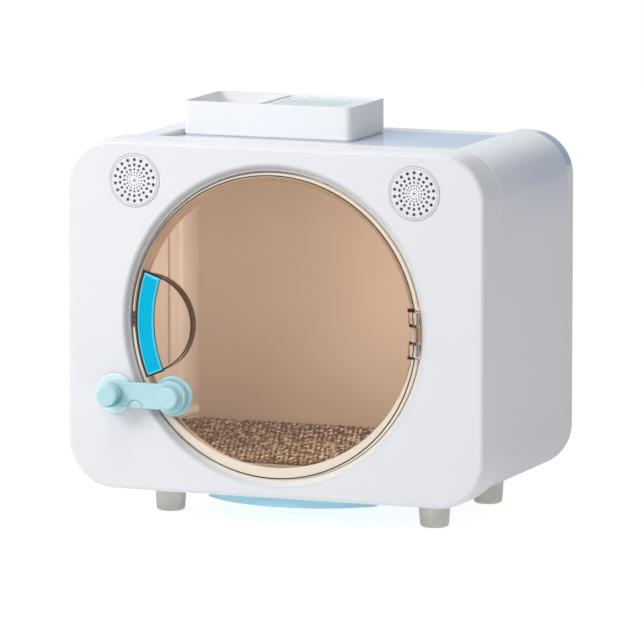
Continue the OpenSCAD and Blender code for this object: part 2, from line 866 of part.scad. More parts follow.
module lock_door_button() {
  color("powderblue") in_body() at_lock() translate([lock_span, 0, 0]) {
    lock_button(hub_top + retainer_t, dome_r, dome_t, dome_edge);
    translate([0, -hub_top - retainer_t, 0]) rod_y(stem_r, retainer_t + stem_in);
  }
}

// Plan of a floor piece, in from the lattice's edge by g
module floor_plan(g) {
  translate([0, lattice_front + g])
    rounded_rect(2 * (lattice_side - g), lattice_back - lattice_front - 2 * g, lattice_r - g);
}

// Stiff lattice on the ledges
module floor_lattice() {
  slot_w = (2 * (lattice_side - lattice_r) - lattice_bar) / lattice_cols - lattice_bar;
  slot_l = (lattice_back - lattice_front - lattice_bar) / lattice_rows - lattice_bar;
  color("gainsboro") in_body() translate([0, 0, floor_z]) linear_extrude(lattice_t) difference() {
    floor_plan(0);
    for (i = [0 : lattice_cols - 1], j = [0 : lattice_rows - 1])
      translate([
        lattice_r - lattice_side + lattice_bar + i * (slot_w + lattice_bar),
        lattice_front + lattice_bar + j * (slot_l + lattice_bar)
      ]) square([slot_w, slot_l]);
  }
}

// Mesh mat as a flat net
module floor_mat() {
  gap_w = (2 * (lattice_side - mat_in) - strand_w) / mat_cols - strand_w;
  gap_l = (lattice_back - lattice_front - 2 * mat_in - strand_w) / mat_rows - strand_w;
  color("rosybrown") in_body() translate([0, 0, floor_z + lattice_t]) linear_extrude(mat_t) difference() {
    floor_plan(mat_in);
    for (i = [0 : mat_cols - 1], j = [0 : mat_rows - 1])
      if (!((i == 0 || i == mat_cols - 1) && (j == 0 || j == mat_rows - 1)))
        translate([
          mat_in - lattice_side + strand_w + i * (gap_w + strand_w),
          lattice_front + mat_in + strand_w + j * (gap_l + strand_w)
        ]) square([gap_w, gap_l]);
  }
}

// Plan of the tray, in from its outside by g
module tray_plan(g) {
  intersection() {
    translate([g - tray_w / 2, 0]) square([tray_w - 2 * g, tray_back - g]);
    union() {
      translate([0, tray_arc_y]) circle(tray_front_r - g);
      translate([-tray_w, tray_arc_y]) square([2 * tray_w, tray_back]);
    }
  }
}

// Round-fronted tray that slides out under the panel
module droppings_tray() {
  color("lightblue") in_body() difference() {
    union() {
      translate([0, 0, tray_top - tray_h]) linear_extrude(tray_h) tray_plan(0);
      for (s = [0, 1]) mirror([s, 0, 0])
        translate([tray_w / 2 - tray_wall, tray_flange_y, tray_top - tray_flange_down - tray_flange_t])
          cube([tray_wall + tray_flange_w, tray_back - tray_flange_y, tray_flange_t]);
    }
    translate([0, 0, tray_top - tray_h + tray_wall]) linear_extrude(tray_h) tray_plan(tray_wall);
  }
}

module tray_rail() {
  l = rail_back - rail_front;
  lip_x = tray_w / 2 + slide_gap;
  translate([rail_x, rail_front, rail_low]) cube([rail_web, l, shell_in - rail_low]);
  translate([lip_x, rail_front, rail_low]) cube([rail_x - lip_x + rail_web, l, rail_lip_t]);
  translate([rail_x, rail_front, shell_in - rail_foot_t]) cube([rail_web + rail_foot_w, l, rail_foot_t]);
}

module screwed_rail(side) {
  color("whitesmoke") in_body() difference() {
    mirror([side < 0 ? 1 : 0, 0, 0]) tray_rail();
    rail_screw_places() translate([0, 0, -over]) cylinder(r = screw_r + screw_fit, h = shell_in + 2 * over);
  }
}

module tray_rail_left() { screwed_rail(-1); }

module tray_rail_right() { screwed_rail(1); }

module rail_screws() {
  color("silver") in_body() rail_screw_places()
    translate([0, 0, shell_in - rail_foot_t]) pan_screw(rail_foot_t + wall + foot_boss_h / 2);
}

// Tapered stub foot with a rounded lower edge and a screw pocket
module foot(side, y) {
  color([0.73, 0.73, 0.69]) translate([side_x(side, foot_x), front_y + y, 0]) difference() {
    rotate_extrude() difference() {
      union() {
        polygon([
          [0, 0], [foot_low_r - foot_edge_r, 0], [foot_low_r, foot_edge_r],
          [foot_r, foot_h + shell_in], [0, foot_h + shell_in]
        ]);
        translate([foot_low_r - foot_edge_r, foot_edge_r]) circle(foot_edge_r);
      }
      translate([-foot_r, -foot_h]) square([foot_r, 2 * foot_h]);
    }
    translate([0, 0, -over]) cylinder(r = screw_r + screw_fit, h = foot_h + shell_in + 2 * over);
    translate([0, 0, -over]) cylinder(r = screw_head_r + screw_fit, h = foot_pocket_h + over);
  }
}

module foot_front_left() { foot(-1, foot_front_y); }

module foot_front_right() { foot(1, foot_front_y); }

module foot_rear_left() { foot(-1, foot_back_y); }

module foot_rear_right() { foot(1, foot_back_y); }

module foot_screws() {
  color("silver") in_body() foot_places() translate([0, 0, foot_pocket_h - foot_h])
    pan_screw(foot_h - foot_pocket_h + shell_in + wall + foot_boss_h / 2);
}

module in_caddy() { in_body() translate([-caddy_x, caddy_y, deck_z]) children(); }

// Plan of the roof tray, centred, in from its outside by g
module caddy_plan(g) {
  translate([0, g - caddy_d / 2]) rounded_rect(caddy_w - 2 * g, caddy_d - 2 * g, caddy_r - g);
}

// Right-hand compartment that the perforated plate covers
plate_x0 = pocket_w + 2 * caddy_wall - caddy_w / 2;
plate_x1 = caddy_w / 2 - caddy_wall;

// Open caddy with a divider and corner posts for the plate
module roof_tray() {
  post_h = caddy_h - plate_down - plate_t - plate_gap;
  color("white") in_caddy() difference() {
    union() {
      translate([0, 0, plinth_h]) linear_extrude(caddy_h - plinth_h) difference() {
        caddy_plan(0);
        caddy_plan(caddy_wall);
      }
      translate([0, 0, plinth_h]) linear_extrude(caddy_floor - plinth_h) caddy_plan(0);
      linear_extrude(plinth_h) caddy_plan(plinth_in);
      translate([plate_x0 - caddy_wall, -caddy_d / 2 + caddy_wall / 2, plinth_h])
        cube([caddy_wall, caddy_d - caddy_wall, caddy_h - plate_down / 2 - plinth_h]);
      intersection() {
        translate([0, 0, plinth_h]) linear_extrude(post_h - plinth_h) caddy_plan(0);
        for (x = [plate_x0 - caddy_wall / 2, caddy_w / 2 - post_w - caddy_wall], y = [0, 1]) mirror([0, y, 0])
          translate([x, caddy_d / 2 - post_w - caddy_wall, plinth_h])
            cube([post_w + caddy_wall / 2, post_w + caddy_wall, post_h - plinth_h]);
      }
    }
  }
}

// Lift-out plate with rows of holes and a plain margin at the right
module roof_tray_plate() {
  w = plate_x1 - plate_x0 - 2 * plate_gap;
  d = caddy_d - 2 * caddy_wall - 2 * plate_gap;
  r = caddy_r - caddy_wall - plate_gap;
  color("whitesmoke") in_caddy() translate([(plate_x0 + plate_x1) / 2, 0, caddy_h - plate_down - plate_t])
    linear_extrude(plate_t) difference() {
      translate([0, -d / 2]) rounded_rect(w, d, r);
      for (i = [0 : plate_cols - 1], j = [0 : plate_rows - 1])
        translate([
          (i - plate_left_share * plate_cols) * plate_pitch - plate_pitch / 2,
          (j - (plate_rows - 1) / 2) * plate_pitch
        ]) circle(plate_hole_r);
    }
}

module heater_plate() {
  color("silver") in_body() difference() {
    translate([0, heater_y - heater_d / 2, heater_z]) linear_extrude(heater_t)
      rounded_rect(heater_w, heater_d, heater_screw_in / 2);
    heater_screw_places() translate([0, 0, heater_z - over])
      cylinder(r = screw_r + screw_fit, h = heater_t + 2 * over);
  }
}

module heater_screws() {
  color("silver") in_body() heater_screw_places()
    translate([0, 0, heater_z]) pan_screw(heater_t + heater_down / 2);
}

// Lead held between the heating plate and the inlet
module heater_lead() {
  start = heater_y + heater_d / 2;
  color("dimgray") in_body() translate([inlet_x, start, heater_z + heater_t / 2])
    rod_y(lead_r, body_d + inlet_flange_t - inlet_l - start);
}

module power_inlet() {
  color("dimgray") in_body() translate([inlet_x, body_d + inlet_flange_t, heater_z + heater_t / 2]) mirror([0, 1, 0])
    difference() {
      union() {
        rod_y(inlet_flange_r, inlet_flange_t);
        rod_y(inlet_r, inlet_l);
      }
      difference() {
        translate([0, -over, 0]) rod_y(inlet_socket_r, inlet_socket_d + over);
        rod_y(inlet_core_r, inlet_socket_d);
      }
    }
}

module inlet_nut() {
  color("silver") in_body() translate([inlet_x, body_d - wall - nut_t, heater_z + heater_t / 2]) difference() {
    rotate([-90, 0, 0]) cylinder(r = nut_r, h = nut_t, $fn = 6);
    translate([0, -over, 0]) rod_y(inlet_r + run_gap, nut_t + 2 * over);
  }
}

front_panel();
main_shell();
rear_cover();
vent_cap_left();
vent_cap_right();
panel_screws();
cover_screws();
door_pane();
handle_bar();
catch_plate();
catch_magnet();
door_seal();
hinge_pin();
hinge_bracket();
bracket_screws();
lock_panel_pad();
lock_panel_base();
lock_door_pad();
lock_door_base();
lock_strap();
lock_retainer();
lock_strap_button();
lock_door_button();
floor_lattice();
floor_mat();
droppings_tray();
tray_rail_left();
tray_rail_right();
rail_screws();
foot_front_left();
foot_front_right();
foot_rear_left();
foot_rear_right();
foot_screws();
roof_tray();
roof_tray_plate();
heater_plate();
heater_screws();
heater_lead();
power_inlet();
inlet_nut();
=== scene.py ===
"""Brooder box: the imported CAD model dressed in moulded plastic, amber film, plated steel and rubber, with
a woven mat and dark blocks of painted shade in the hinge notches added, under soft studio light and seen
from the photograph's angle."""

import json
import math

import bpy
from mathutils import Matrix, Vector


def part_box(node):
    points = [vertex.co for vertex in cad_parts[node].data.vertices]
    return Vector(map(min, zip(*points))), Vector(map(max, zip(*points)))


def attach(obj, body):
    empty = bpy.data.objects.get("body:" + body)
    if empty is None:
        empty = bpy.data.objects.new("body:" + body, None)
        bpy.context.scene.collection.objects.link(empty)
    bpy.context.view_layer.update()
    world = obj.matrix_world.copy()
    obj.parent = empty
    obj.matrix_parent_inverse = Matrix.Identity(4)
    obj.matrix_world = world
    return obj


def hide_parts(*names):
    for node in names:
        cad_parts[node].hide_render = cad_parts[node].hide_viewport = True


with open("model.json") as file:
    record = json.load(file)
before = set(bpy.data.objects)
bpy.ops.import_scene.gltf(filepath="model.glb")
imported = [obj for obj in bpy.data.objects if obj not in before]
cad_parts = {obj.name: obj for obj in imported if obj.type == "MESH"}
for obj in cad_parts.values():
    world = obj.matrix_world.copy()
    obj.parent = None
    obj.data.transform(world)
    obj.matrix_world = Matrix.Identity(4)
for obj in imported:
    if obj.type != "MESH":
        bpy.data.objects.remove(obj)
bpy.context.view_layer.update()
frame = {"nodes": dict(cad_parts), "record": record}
nodes = frame["nodes"]

MM = 0.001

# Places read from the frame
panel_low, panel_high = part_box("front_panel")
seal_low, seal_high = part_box("door_seal")
handle_low, handle_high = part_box("handle_bar")
pin_low, pin_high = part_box("hinge_pin")
pad_low, pad_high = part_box("lock_door_pad")
mat_low, mat_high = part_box("floor_mat")
FRONT_Y, TOP_Z = panel_low.y, panel_high.z
COVER_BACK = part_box("rear_cover")[1].y
DECK_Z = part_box("roof_tray")[0].z
DOOR_R = -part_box("door_pane")[0].x
DOOR_Z = (seal_low.z + seal_high.z) / 2
PIN_X = (pin_low.x + pin_high.x) / 2

# Places on the cabin that the finishes go by
SKIRT_END = FRONT_Y + 40 * MM
DECK_BACK = FRONT_Y + 150 * MM
INNER_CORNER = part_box("main_shell")[0].x + 20 * MM
OPENING_R = DOOR_R + 0.6 * MM
PANE_Y = FRONT_Y + 2 * MM

# Places on the door, across and up from its middle
LINE_AT, LINE_R = (-1.2 * MM, -0.8 * MM), DOOR_R - 1.6 * MM
FILM_AT, FILM_HALF = (-0.85 * MM, 3.0 * MM), (DOOR_R - 3.2 * MM, DOOR_R - 6.4 * MM)
CATCH_X = -112 * MM
RECESS_R = DOOR_R - 6 * MM
CUP_AT, CUP_R = (11.7 * MM - DOOR_R, -3.2 * MM), 39.6 * MM
CUP_EDGE = -50 * MM
HANDLE_R, HANDLE_W = -handle_low.x, 13.6 * MM
HANDLE_TILT, HANDLE_HALF = math.radians(1.6), math.radians(20.8)
HINGE_LINE_X = PIN_X + 2.8 * MM
PAD_AT = ((pad_low.x + pad_high.x) / 2, (pad_low.z + pad_high.z) / 2 - DOOR_Z)
PAD_R = (pad_high.x - pad_low.x) / 2

# Directions in the front's plane, as shares across and up
HOLLOW_SHADE_SIDE = (-0.8, 0.6)
RIM_SIDE = (-0.9, 0.44)
LOCK_UNDERSIDE = (0.6, -0.8)

# Colours
WHITE = (0.71, 0.715, 0.735)
# Painted light: a highlight white, painted reflections on the deck and rear cover, and painted shade on the
# shoulders, back wall, seam, doorway's hollow and lip
HIGHLIGHT_WHITE = (0.90, 0.91, 0.925)
DECK_REFLECTION_BLUE = (0.50, 0.60, 0.74)
SHOULDER_SHADE_BLUE = (0.56, 0.60, 0.68)
COVER_REFLECTION_BLUE = (0.36, 0.47, 0.63)
BACK_WALL_SHADE = (0.66, 0.64, 0.63)
SEAM_SHADE_GREY = (0.36, 0.37, 0.39)
HOLLOW_SHADE_GREY = (0.33, 0.325, 0.33)
LIP_PAINTED_DIM, LIP_PAINTED_BRIGHT = (0.70, 0.67, 0.63), (0.97, 0.95, 0.92)
# The handle's and lock's rim colours are painted highlights, their foot colour and teals painted shade
HANDLE_BLUE, HANDLE_RIM_HIGHLIGHT, HANDLE_FOOT_SHADE = (0.0, 0.41, 0.62), (0.28, 0.80, 0.92), (0.01, 0.07, 0.09)
LOCK_BLUE, LOCK_PALE, LOCK_RIM_HIGHLIGHT = (0.42, 0.645, 0.695), (0.66, 0.82, 0.845), (0.80, 0.90, 0.91)
LOCK_SHADE_TEAL, BUTTON_SHADE_TEAL = (0.14, 0.50, 0.54), (0.03, 0.40, 0.45)
CATCH_GREY, CATCH_BAR = (0.30, 0.27, 0.25), (0.03, 0.025, 0.022)
PAD_WHITE = (0.86, 0.88, 0.90)
# The dark tint and body colour the pane's dark lines and its painted shade and shadow
FILM_TINT, BORDER_TINT, DARK_TINT = (0.97, 0.845, 0.735), (0.99, 0.96, 0.91), (0.25, 0.16, 0.11)
PANE_BODY, BORDER_BODY, DARK_BODY = (0.60, 0.42, 0.30), (0.88, 0.80, 0.70), (0.05, 0.03, 0.022)
HINGE_TINT, HINGE_BODY, HINGE_DARK = (0.93, 0.83, 0.73), (0.72, 0.58, 0.46), (0.16, 0.10, 0.07)
SHADOW_TINT = (0.97, 0.95, 0.93)
MAT_DARK, MAT_BROWN, MAT_PALE = (0.055, 0.043, 0.036), (0.27, 0.242, 0.22), (0.64, 0.60, 0.56)
# MAT_VALLEY_SHADE is painted shade in the weave's valleys
MAT_VALLEY_SHADE, MAT_FIBRE = (0.05, 0.039, 0.032), (0.50, 0.455, 0.42)

# Shares and patterns
HOLLOW_SHADE_LOW, HOLLOW_SHADE_HIGH = 0.22, 0.80
FILM_HAZE, BORDER_HAZE = 0.05, 0.62
DECK_ROUGH = 0.25
HATCH_PITCH = 4.2 * MM
FLECK_X, FLECK_Y = 4.2 * MM, 12 * MM


# Node graphs

class Graph:
    """A material or world node tree, with short calls to add and join nodes."""

    def __init__(self, owner):
        owner.use_nodes = True
        self.tree = owner.node_tree
        self.tree.nodes.clear()

    def add(self, kind, inputs=None, **settings):
        node = self.tree.nodes.new("ShaderNode" + kind)
        for name, value in settings.items():
            setattr(node, name, value)
        for key, value in (inputs or {}).items():
            self.feed(node.inputs[key], value)
        return node

    def feed(self, socket, value):
        if isinstance(value, bpy.types.NodeSocket):
            self.tree.links.new(value, socket)
            return
        takes_alpha = hasattr(socket.default_value, "__len__") and len(socket.default_value) == 4
        socket.default_value = (*value, 1.0) if takes_alpha and len(value) == 3 else value

    def math(self, operation, a, b=0.0, c=0.0):
        return self.add("Math", {0: a, 1: b, 2: c}, operation=operation).outputs[0]

    def plus(self, a, b):
        return self.math("ADD", a, b)

    def minus(self, a, b):
        return self.math("SUBTRACT", a, b)

    def times(self, a, b):
        return self.math("MULTIPLY", a, b)

    def most(self, a, b):
        return self.math("MAXIMUM", a, b)

    def size(self, a):
        return self.math("ABSOLUTE", a)

    def ramp(self, value, low, high, to_low=0.0, to_high=1.0, smooth=True):
        kind = "SMOOTHSTEP" if smooth else "LINEAR"
        ends = {"Value": value, "From Min": low, "From Max": high, "To Min": to_low, "To Max": to_high}
        return self.add("MapRange", ends, interpolation_type=kind).outputs["Result"]

    def fall(self, value, low, high):
        return self.ramp(value, low, high, 1.0, 0.0)

    def noise(self, where, scale, detail=2.0, rough=0.5):
        inputs = {"Vector": where, "Scale": scale, "Detail": detail, "Roughness": rough}
        return self.add("TexNoise", inputs).outputs["Fac"]

    def blend(self, factor, a, b):
        mix = self.add("Mix", data_type="RGBA", blend_type="MIX")
        self.feed(mix.inputs[0], factor)
        self.feed(mix.inputs[6], a)
        self.feed(mix.inputs[7], b)
        return mix.outputs[2]

    def bump(self, height, strength, distance, normal=None):
        inputs = {"Height": height, "Strength": strength, "Distance": distance}
        if normal is not None:
            inputs["Normal"] = normal
        return self.add("Bump", inputs).outputs["Normal"]

    def split(self, vector):
        """X, Y and Z of a vector."""
        return self.add("SeparateXYZ", {0: vector}).outputs[:]

    def place(self):
        return self.add("TexCoord").outputs["Object"]

    def facing(self):
        """X, Y and Z of the direction that the surface faces."""
        return self.split(self.add("TexCoord").outputs["Normal"])

    def surface(self, shader):
        out = self.add("OutputMaterial")
        self.tree.links.new(shader, out.inputs["Surface"])


def new_material(name):
    material = bpy.data.materials.new(name)
    return material, Graph(material)


def shade(colour, factor):
    return tuple(min(1.0, c * factor) for c in colour)


def on_door(g, place):
    """Across, depth and up of a place, with up from the door's middle."""
    across, depth, height = g.split(place)
    return across, depth, g.minus(height, DOOR_Z)


def spread_from(g, across, up, x=0.0, z=0.0, wide=1.0, high=1.0):
    """Distance on the front face from the place x, z, measured in half axes wide and high."""
    dx = g.math("DIVIDE", g.minus(across, x), wide)
    dz = g.math("DIVIDE", g.minus(up, z), high)
    return g.math("SQRT", g.plus(g.times(dx, dx), g.times(dz, dz)))


def towards(g, across, up, direction):
    return g.plus(g.times(across, direction[0]), g.times(up, direction[1]))


# Kinds of finish

def moulded(name, colour, rough=0.3, spread=0.03, uneven=0.15, peel=0.05, specular=0.5, soft=0.5,
            tone=None, rim=None, polish=None):
    """Moulded plastic: faint flow marks in the colour, uneven gloss, a fine orange-peel surface and
    edges that catch the light. A tone changes the colour with the place, a rim colour is a painted
    highlight on the edges, and polish says where the surface is smoother."""
    material, g = new_material(name)
    place = g.place()
    flow = g.ramp(g.noise(place, 16.0, 4.0, 0.55), 0.3, 0.7)
    colour_out = g.blend(flow, shade(colour, 1 - spread), shade(colour, 1 + spread / 2))
    if tone is not None:
        colour_out = tone(g, place, colour_out)
    gloss = g.ramp(g.noise(place, 55.0, 3.0), 0.3, 0.7, rough * (1 - uneven), rough * (1 + uneven))
    if polish is not None:
        gloss = g.times(gloss, g.ramp(polish(g, place), 0.0, 1.0, 1.0, DECK_ROUGH))
    eased = g.add("Bevel", {"Radius": soft * MM}, samples=4).outputs[0]
    if rim is not None:
        flat = g.add("NewGeometry").outputs["True Normal"]
        along = g.add("VectorMath", {0: eased, 1: flat}, operation="DOT_PRODUCT").outputs["Value"]
        # painted highlight on the edges, in the rim colour
        colour_out = g.blend(g.ramp(along, 0.98, 0.82, 0.0, 0.7), colour_out, rim)
    skin = g.bump(g.noise(place, 1400.0, 2.0), peel, 0.0002, eased)
    body = g.add("BsdfPrincipled", {
        "Base Color": colour_out, "Roughness": gloss, "Normal": skin, "Specular IOR Level": specular,
    })
    g.surface(body.outputs[0])
    return material


def white(name, colour=WHITE, tone=None, polish=None):
    return moulded(name, colour, rough=0.32, spread=0.006, uneven=0.04, peel=0.015, specular=0.3,
                   tone=tone, polish=polish)


def lock_plastic(name, colour, tone):
    return moulded(name, colour, rough=0.32, specular=0.25, soft=1.1, tone=tone, rim=LOCK_RIM_HIGHLIGHT)


def plated(name, colour, rough=0.3, tone=None):
    """Plated or rolled steel: fine drawn lines in the gloss and slight clouding."""
    material, g = new_material(name)
    place = g.place()
    cloud = g.ramp(g.noise(place, 220.0, 3.0), 0.3, 0.7)
    colour_out = g.blend(cloud, shade(colour, 0.85), shade(colour, 1.1))
    if tone is not None:
        colour_out = tone(g, place, colour_out)
    stretched = g.add("Mapping", {"Vector": place, "Scale": (400.0, 400.0, 6000.0)}).outputs[0]
    drawn = g.noise(stretched, 1.0, 2.0)
    body = g.add("BsdfPrincipled", {
        "Base Color": colour_out, "Metallic": 1.0,
        "Roughness": g.ramp(drawn, 0.2, 0.8, rough * 0.8, rough * 1.3),
        "Normal": g.bump(drawn, 0.08, 0.0001),
    })
    g.surface(body.outputs[0])
    return material


def rubbery(name, colour, rough=0.62):
    """Matte rubber with a fine grain and a little bloom."""
    material, g = new_material(name)
    place = g.place()
    bloom = g.noise(place, 70.0, 4.0, 0.6)
    grain = g.noise(place, 2600.0, 1.0)
    body = g.add("BsdfPrincipled", {
        "Base Color": g.blend(g.ramp(bloom, 0.35, 0.7), shade(colour, 0.93), shade(colour, 1.05)),
        "Roughness": g.ramp(bloom, 0.3, 0.7, rough * 0.9, rough * 1.1),
        "Normal": g.bump(grain, 0.15, 0.0002),
    })
    g.surface(body.outputs[0])
    return material


def see_through(g, place, tint, body, share, shine):
    """Tinted clear sheet: share of the light comes back from its body, and shadow rays pass freely."""
    clear = g.add("BsdfTransparent", {"Color": tint})
    gloss = g.add("BsdfPrincipled", {
        "Base Color": body, "Roughness": 0.12, "IOR": 1.49, "Specular IOR Level": shine,
        "Normal": g.bump(g.noise(place, 60.0, 2.0), 0.02, 0.0005),
    })
    mix = g.add("MixShader", {0: share, 1: clear.outputs[0], 2: gloss.outputs[0]})
    free = g.add("BsdfTransparent", {"Color": SHADOW_TINT})
    shadow = g.add("LightPath").outputs["Is Shadow Ray"]
    g.surface(g.add("MixShader", {0: shadow, 1: mix.outputs[0], 2: free.outputs[0]}).outputs[0])


# Tones: colours that change with the place on a piece

def on_deck(g, place):
    """1 on the sunken roof deck, 0 elsewhere."""
    level = g.fall(g.size(g.minus(g.split(place)[2], DECK_Z)), 0.3 * MM, 0.8 * MM)
    return g.times(level, g.ramp(g.facing()[2], 0.85, 0.97))


def shell_tone(g, place, colour):
    """Painted light on the shell: blue-grey painted shade on the upper shoulders towards the back, a
    painted highlight on upward faces high up, painted shade along the seam behind the front panel's
    skirt, and on the deck a painted reflection that turns from white to blue-grey towards the back."""
    _, depth, height = g.split(place)
    high = g.ramp(height, TOP_Z - 80 * MM, TOP_Z - 25 * MM)
    far = g.ramp(depth, SKIRT_END, DECK_BACK, 0.1, 0.9, smooth=False)
    # painted blue-grey shade on the upper shoulders, deeper towards the back
    colour = g.blend(g.times(far, high), colour, SHOULDER_SHADE_BLUE)
    # painted highlight on upward faces high on the shell
    upward = g.ramp(g.facing()[2], 0.5, 0.95)
    colour = g.blend(g.times(upward, high), colour, HIGHLIGHT_WHITE)
    # painted shade along the seam just behind the front panel's skirt
    seam = g.ramp(depth, SKIRT_END + 0.4 * MM, SKIRT_END + 2.6 * MM, 0.75, 0.0)
    colour = g.blend(seam, colour, SEAM_SHADE_GREY)
    # painted reflection on the deck, white in front and blue-grey towards the back
    back = g.ramp(depth, SKIRT_END + 20 * MM, DECK_BACK, 0.0, 0.75)
    return g.blend(on_deck(g, place), colour, g.blend(back, HIGHLIGHT_WHITE, DECK_REFLECTION_BLUE))


def panel_tone(g, place, colour):
    """Painted highlight on the top and on the rear edge of the skirt, and painted shade in the grey hollow
    of the doorway's edge, with its cream lip painted darker at the lower right and paler at the upper left.
    """
    across, depth, height = g.split(place)
    upward = g.facing()[2]
    # painted highlight on the panel's top and on the skirt's rear edge
    top = g.times(g.ramp(upward, 0.82, 0.98), g.ramp(height, TOP_Z - 14 * MM, TOP_Z - 8 * MM))
    rear = g.times(g.ramp(depth, SKIRT_END - 2.4 * MM, SKIRT_END - 1.4 * MM), g.ramp(upward, 0.15, 0.4))
    colour = g.blend(g.most(top, rear), colour, HIGHLIGHT_WHITE)
    up = g.minus(height, DOOR_Z)
    out = g.minus(spread_from(g, across, up), OPENING_R)
    # painted shade in the doorway's hollow, strongest at the upper left; the lip is painted darker at the
    # lower right and paler at the upper left
    hollow = g.times(g.ramp(out, 1.0 * MM, 2.8 * MM), g.fall(out, 3.8 * MM, 8.4 * MM))
    side = towards(g, across, up, HOLLOW_SHADE_SIDE)
    amount = g.ramp(side, -0.8 * OPENING_R, 0.8 * OPENING_R, HOLLOW_SHADE_LOW, HOLLOW_SHADE_HIGH)
    lip = g.blend(amount, LIP_PAINTED_DIM, LIP_PAINTED_BRIGHT)
    colour = g.blend(g.fall(out, 2.0 * MM, 4.0 * MM), colour, lip)
    return g.blend(g.times(hollow, amount), colour, HOLLOW_SHADE_GREY)


def cover_tone(g, place, colour):
    """Painted blue-grey reflection on the upper rounded corners with a painted highlight on the edge
    between them, and inside painted shade that makes the back wall darker than the side wall."""
    across, depth, height = g.split(place)
    aside, backward, _ = g.facing()
    outer = g.times(g.ramp(depth, COVER_BACK - 22.6 * MM, COVER_BACK - 21.4 * MM),
                    g.fall(backward, 0.9, 0.99))
    high = g.ramp(height, TOP_Z - 32 * MM, TOP_Z - 29 * MM)
    corner = g.ramp(g.times(aside, g.math("SIGN", across)), 0.12, 0.36)
    # painted reflection on the upper corners and painted highlight on the edge between them
    colour = g.blend(g.times(outer, high), colour, g.blend(corner, HIGHLIGHT_WHITE, COVER_REFLECTION_BLUE))
    past_corner = g.ramp(across, INNER_CORNER - 0.5 * MM, INNER_CORNER + 0.5 * MM)
    # painted shade on the inside of the back wall
    return g.blend(g.times(g.ramp(backward, 0.0, -0.1), past_corner), colour, BACK_WALL_SHADE)


def lock_tone(g, place, colour, deep=LOCK_SHADE_TEAL, most=0.7):
    """Painted shade: deeper teal on faces that look down or to the right."""
    aside, _, upward = g.facing()
    return g.blend(g.ramp(towards(g, aside, upward, LOCK_UNDERSIDE), 0.2, 0.9, 0.0, most), colour, deep)


def button_tone(g, place, colour):
    """Stronger painted shade on the sides of the strap's button than on the rest of the lock."""
    return lock_tone(g, place, colour, deep=BUTTON_SHADE_TEAL, most=1.0)


def handle_tone(g, place, colour):
    """Painted highlight on the rounded rims all round the handle bar, and painted shade on its feet at the
    sides.
    """
    across, depth, up = on_door(g, place)
    radius = spread_from(g, across, up)
    outer = g.ramp(radius, HANDLE_R - 1.5 * MM, HANDLE_R - 0.6 * MM)
    inner = g.fall(radius, HANDLE_R - HANDLE_W + 0.6 * MM, HANDLE_R - HANDLE_W + 1.5 * MM)
    half = (handle_high.z - handle_low.z) / 2
    reach = g.size(g.minus(up, (handle_low.z + handle_high.z) / 2 - DOOR_Z))
    reach = g.plus(reach, g.times(g.minus(HANDLE_R, radius), 0.37))
    ends = g.ramp(reach, half - 1.6 * MM, half - 0.6 * MM)
    rim = g.most(g.most(outer, inner), ends)
    # painted highlight on the rims
    colour = g.blend(g.times(rim, 0.5), colour, HANDLE_RIM_HIGHLIGHT)
    # painted shade on the feet next to the pane
    return g.blend(g.ramp(depth, handle_low.y + 1.3 * MM, handle_low.y + 1.9 * MM), colour, HANDLE_FOOT_SHADE)


def hatch_tone(g, place, colour):
    """Dark bars across the catch plate."""
    turn = g.times(g.minus(g.split(place)[2], DOOR_Z), 2 * math.pi / HATCH_PITCH)
    return g.blend(g.ramp(g.math("SINE", turn), -0.2, 0.3), colour, CATCH_BAR)


# Dark lines of the pane, and its painted shade and shadow

def hinge_line(g, across, up):
    """Line down the outer side of the hinge's knuckles."""
    off = g.size(g.minus(across, HINGE_LINE_X))
    return g.times(g.fall(off, 0.3 * MM, 0.6 * MM), g.fall(g.size(up), 19.6 * MM, 20.2 * MM))


def rim_line(g, across, up):
    """Line just inside the pane's rim."""
    off = g.size(g.minus(spread_from(g, across, up, *LINE_AT), LINE_R))
    return g.fall(off, 0.40 * MM, 0.74 * MM)


def cup_line(g, across, up, radius):
    """Painted shade line round the finger cup and the handle's recess."""
    off = g.most(g.minus(radius, RECESS_R), g.minus(spread_from(g, across, up, *CUP_AT), CUP_R))
    return g.fall(g.size(off), 0.65 * MM, 1.05 * MM)


def handle_shadow(g, across, up, radius):
    """Painted shadow under and around the handle bar, a little wider than the bar."""
    turn = g.plus(g.math("ARCTAN2", up, g.times(across, -1.0)), HANDLE_TILT)
    past = g.times(g.minus(g.size(turn), HANDLE_HALF), radius)
    past = g.most(past, g.times(g.minus(radius, HANDLE_R), 0.40))
    past = g.most(past, g.minus(HANDLE_R - HANDLE_W + 1 * MM, radius))
    return g.fall(past, 1.1 * MM, 1.6 * MM)


def pane_walls(g, across, up, radius):
    """Painted shade on the cup's walls, and on the pane's cut edge at the upper left."""
    edge = g.fall(g.size(g.facing()[1]), 0.35, 0.65)
    upper_left = g.ramp(towards(g, across, up, RIM_SIDE), 0.1 * DOOR_R, 0.6 * DOOR_R)
    rim = g.times(g.ramp(radius, DOOR_R - 0.5 * MM, DOOR_R - 0.2 * MM), upper_left)
    return g.times(edge, g.most(g.ramp(across, CUP_EDGE, CUP_EDGE - 10 * MM), rim))


